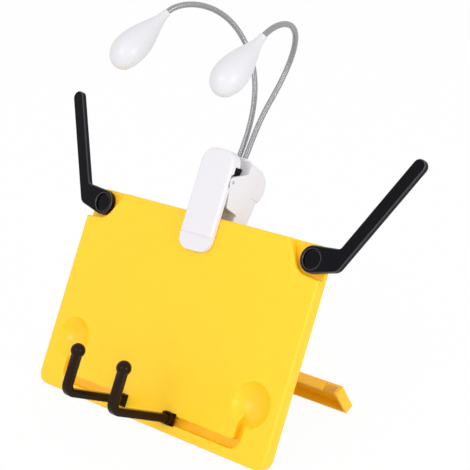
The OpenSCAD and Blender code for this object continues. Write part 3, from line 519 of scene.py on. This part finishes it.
def wound_tube(name, line, radius, pitch, groove, sides=16, rings_per_turn=6):
    """A tube whose skin winds round it like close-coiled wire."""
    spots = spaced(line, pitch / rings_per_turn)
    verts = []
    for i, spot in enumerate(spots):
        ahead = spots[min(i + 1, len(spots) - 1)] - spots[max(i - 1, 0)]
        way = ahead.normalized()
        right = way.cross(Vector((1, 0, 0))).normalized()
        up = way.cross(right)
        for k in range(sides):
            turn = k / sides
            phase = (i / rings_per_turn - turn) % 1.0
            reach = radius - groove * (1 - abs(math.sin(math.pi * phase)))
            angle = 2 * math.pi * turn
            verts.append(spot + (right * math.cos(angle) + up * math.sin(angle)) * reach)
    faces = []
    for i in range(len(spots) - 1):
        for k in range(sides):
            a = i * sides + k
            b = i * sides + (k + 1) % sides
            faces.append((a, b, b + sides, a + sides))
    faces.append(tuple(range(sides - 1, -1, -1)))
    faces.append(tuple(range(len(verts) - sides, len(verts))))
    mesh = bpy.data.meshes.new(name)
    mesh.from_pydata(verts, [], faces)
    mesh.validate()
    tube = bpy.data.objects.new(name, mesh)
    bpy.context.scene.collection.objects.link(tube)
    return tube


class STAND_OT_yellow_mouldings(bpy.types.Operator):
    """Dress the panel and the kickstand"""

    bl_idname = "stand.yellow_mouldings"
    bl_label = "Yellow mouldings"

    def execute(self, context):
        scene = context.scene
        finish = scene.stand_finish
        roughness = finish.plastic_roughness
        glowing = moulded("yellow_plastic", tuple(finish.yellow), roughness, soak=YELLOW_SOAK)
        # The kickstand's deeper yellow is painted shade; unlike the panel it has no soak
        plain = moulded("leg_plastic_painted_shade", tuple(finish.leg_yellow_painted_shade), roughness)
        for name, plastic in (("panel", glowing), ("kickstand", plain)):
            moulded_copy(name, [plastic], scene.stand_form.panel_edge)
        return {"FINISHED"}


class STAND_OT_arms_and_hooks(bpy.types.Operator):
    """Dress the page arms, their caps and the page hooks"""

    bl_idname = "stand.arms_and_hooks"
    bl_label = "Arms and hooks"

    def execute(self, context):
        scene = context.scene
        finish = scene.stand_finish
        roughness = finish.plastic_roughness
        satin = moulded("arm_plastic", tuple(finish.black), roughness, shine=ARM_SHINE)
        # The arms' rounded edges get a lighter black as a painted highlight, with more shine
        edges = moulded("arm_edges_painted_highlight", tuple(finish.painted_highlight_black), roughness - EDGE_GLOSS,
                        shine=EDGE_SHINE)
        # The hooks' brown tint is a painted reflection of the yellow panel
        gloss = moulded("hook_plastic", tuple(finish.hook_black_painted_reflection), roughness - HOOK_GLOSS,
                        shine=HOOK_SHINE)
        for name in ARM_NODES:
            moulded_copy(name, [satin, edges], scene.stand_form.arm_edge,
                         FINE_SEGMENTS)
        for name in HOOK_NODES:
            moulded_copy(name, [gloss], 0)
        return {"FINISHED"}


class STAND_OT_lamp_case(bpy.types.Operator):
    """Dress the clip lamp's case, lever, heads, buttons and pads"""

    bl_idname = "stand.lamp_case"
    bl_label = "Lamp case"

    def execute(self, context):
        scene = context.scene
        finish = scene.stand_finish
        edge = scene.stand_form.case_edge
        roughness = finish.plastic_roughness
        white = moulded("white_plastic", tuple(finish.white), roughness)
        # The heads' white is darkened as painted shade against the light falling on them; its
        # bluish tint is their own
        head_white_painted_shade = moulded("head_plastic", tuple(finish.cool_white_painted_shade), roughness)
        black = moulded("button_plastic", tuple(finish.black), roughness)
        soft = moulded("pad_rubber", PAD_COLOUR, PAD_ROUGHNESS, PAD_GRAIN_DEPTH)
        for name in CASE_NODES:
            moulded_copy(name, [white], edge, FINE_SEGMENTS)
        for name in HEAD_NODES:
            moulded_copy(name, [head_white_painted_shade], 0, smooth_deg=HEAD_SMOOTH_DEG)
        for name in BUTTON_NODES:
            moulded_copy(name, [black], edge / 2)
        for name in RUBBER_NODES:
            node_material(name, soft)
        return {"FINISHED"}


class STAND_OT_lamp_necks(bpy.types.Operator):
    """Wind the two bendable necks"""

    bl_idname = "stand.lamp_necks"
    bl_label = "Lamp necks"

    def execute(self, context):
        scene = context.scene
        form = scene.stand_form
        metal = bright_metal("neck_metal", tuple(scene.stand_finish.metal), NECK_ROUGHNESS)
        for name, (side, lead, points) in NECK_ROUTES.items():
            line = neck_line(side, lead, points)
            tube = wound_tube(name + "_winding", line, form.neck_radius, form.neck_pitch,
                              form.neck_groove)
            set_finishes(tube, [metal])
            smooth(tube, NECK_SMOOTH_DEG)
            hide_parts(name)
            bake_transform(tube)
        return {"FINISHED"}


class STAND_OT_inner_pieces(bpy.types.Operator):
    """Finish the pins, springs, cells, boards, lenses and light-emitting diodes"""

    bl_idname = "stand.inner_pieces"
    bl_label = "Inner pieces"

    def execute(self, context):
        finish = context.scene.stand_finish
        steel = bright_metal("drawn_steel", tuple(finish.steel), METAL_ROUGHNESS)
        for name in STEEL_NODES:
            node_material(name, steel)
        brass = bright_metal("contact_metal", CONTACT_COLOUR, METAL_ROUGHNESS)
        node_material("battery_contacts", brass)
        for plastic_name, (colour, roughness, nodes) in INNER_PLASTICS.items():
            plastic = moulded(plastic_name, colour, roughness)
            for name in nodes:
                node_material(name, plastic)
        lens = frosted_plastic("lens_plastic", LENS_COLOUR)
        for name in LENS_NODES:
            node_material(name, lens)
        return {"FINISHED"}


def area_light(name, place, target, size, power):
    """A square lamp that faces a point."""
    data = bpy.data.lights.new(name, "AREA")
    data.energy = power
    data.shape = "SQUARE"
    data.size = size
    lamp = bpy.data.objects.new(name, data)
    lamp.location = place
    lamp.rotation_mode = "QUATERNION"
    lamp.rotation_quaternion = (Vector(target) - Vector(place)).to_track_quat("-Z", "Y")
    bpy.context.scene.collection.objects.link(lamp)


def seen_straight(paint):
    """1 where the camera, a reflection or clear plastic sees it, 0 where it only lights others."""
    path = paint.node("ShaderNodeLightPath")
    outputs = path.socket.node.outputs
    camera = Wire(paint, outputs["Is Camera Ray"])
    glossy = Wire(paint, outputs["Is Glossy Ray"])
    through = Wire(paint, outputs["Is Transmission Ray"])
    return paint.node("ShaderNodeMath", {"operation": "MINIMUM"},
                      {0: camera + glossy + through, 1: 1.0})


class STAND_OT_stage(bpy.types.Operator):
    """Set the camera, the floor, the lights and the white background"""

    bl_idname = "stand.stage"
    bl_label = "Stage"

    def execute(self, context):
        scene = context.scene
        stage = scene.stand_stage
        self.floor(scene)
        self.background(scene, stage)
        lo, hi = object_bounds()
        middle = (lo + hi) / 2
        area_light("key_light", KEY_PLACE, middle, KEY_SIZE, stage.key_power)
        area_light("fill_light", FILL_PLACE, middle, FILL_SIZE, stage.fill_power)
        self.camera(scene, stage)
        scene.view_settings.view_transform = "Standard"
        return {"FINISHED"}

    def floor(self, scene):
        """A pale floor that looks white, with a trace of the object's shadow."""
        corners = [(-1, -1), (1, -1), (1, 1), (-1, 1)]
        mesh = bpy.data.meshes.new("floor")
        mesh.from_pydata([(x * FLOOR_HALF, y * FLOOR_HALF, 0) for x, y in corners], [],
                         [(0, 1, 2, 3)])
        floor = bpy.data.objects.new("floor", mesh)
        floor.location.z = -FLOOR_DROP
        scene.collection.objects.link(floor)
        paint = Paint("floor_paint")
        grey = (FLOOR_GREY, FLOOR_GREY, FLOOR_GREY, 1)
        plain = paint.node("ShaderNodeBsdfDiffuse", None, {"Color": grey})
        glow = paint.node("ShaderNodeEmission", None, {"Color": (1, 1, 1, 1), "Strength": 1.0})
        white = seen_straight(paint) * FLOOR_WHITE_SHARE
        mixed = paint.node("ShaderNodeMixShader", None, {0: white, 1: plain, 2: glow})
        paint.node("ShaderNodeOutputMaterial", None, {"Surface": mixed})
        mesh.materials.append(paint.material)
        floor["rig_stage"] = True

    def background(self, scene, stage):
        """White to look at, with the room's own strength as light."""
        world = bpy.data.worlds.new("white_room")
        world.use_nodes = True
        scene.world = world
        paint = Paint("white_room", world.node_tree)
        strength = seen_straight(paint) * (1 - stage.room_light) + stage.room_light
        back = paint.node("ShaderNodeBackground", None,
                          {"Color": (1, 1, 1, 1), "Strength": strength})
        paint.node("ShaderNodeOutputWorld", None, {"Surface": back})

    def camera(self, scene, stage):
        """The photograph's view."""
        data = bpy.data.cameras.new("camera")
        data.lens = stage.camera_lens
        data.sensor_width = SENSOR_WIDTH_MM
        data.clip_end = VIEW_END
        camera = bpy.data.objects.new("camera", data)
        a, e = stage.camera_azimuth, stage.camera_elevation
        back = Vector((math.sin(a) * math.cos(e), -math.cos(a) * math.cos(e), math.sin(e)))
        camera.location = stage.camera_place
        camera.rotation_mode = "QUATERNION"
        camera.rotation_quaternion = (-back).to_track_quat("-Z", "Y")
        scene.collection.objects.link(camera)
        scene.camera = camera


class STAND_PT_panel(bpy.types.Panel):
    """Sizes, finishes and steps of the music stand"""

    bl_idname = "STAND_PT_panel"
    bl_label = "Music stand"
    bl_space_type = "VIEW_3D"
    bl_region_type = "UI"
    bl_category = "Music stand"

    def draw(self, context):
        scene = context.scene
        for group in (scene.stand_finish, scene.stand_form, scene.stand_stage):
            box = self.layout.box()
            for name in group.bl_rna.properties.keys():
                if name not in ("rna_type", "name"):
                    box.prop(group, name)
        for step in STEPS:
            self.layout.operator(step.bl_idname)


GROUPS = {"stand_finish": StandFinish, "stand_form": StandForm, "stand_stage": StandStage}
STEPS = [STAND_OT_yellow_mouldings, STAND_OT_arms_and_hooks, STAND_OT_lamp_case,
         STAND_OT_lamp_necks, STAND_OT_inner_pieces, STAND_OT_stage]
CLASSES = [*GROUPS.values(), *STEPS, STAND_PT_panel]


def register():
    for cls in CLASSES:
        bpy.utils.register_class(cls)
    for name, group in GROUPS.items():
        setattr(bpy.types.Scene, name, bpy.props.PointerProperty(type=group))


def unregister():
    for name in GROUPS:
        delattr(bpy.types.Scene, name)
    for cls in reversed(CLASSES):
        bpy.utils.unregister_class(cls)


def main():
    register()
    bpy.ops.stand.yellow_mouldings()
    bpy.ops.stand.arms_and_hooks()
    bpy.ops.stand.lamp_case()
    bpy.ops.stand.lamp_necks()
    bpy.ops.stand.inner_pieces()
    bpy.ops.stand.stage()


if __name__ == "__main__":
    main()
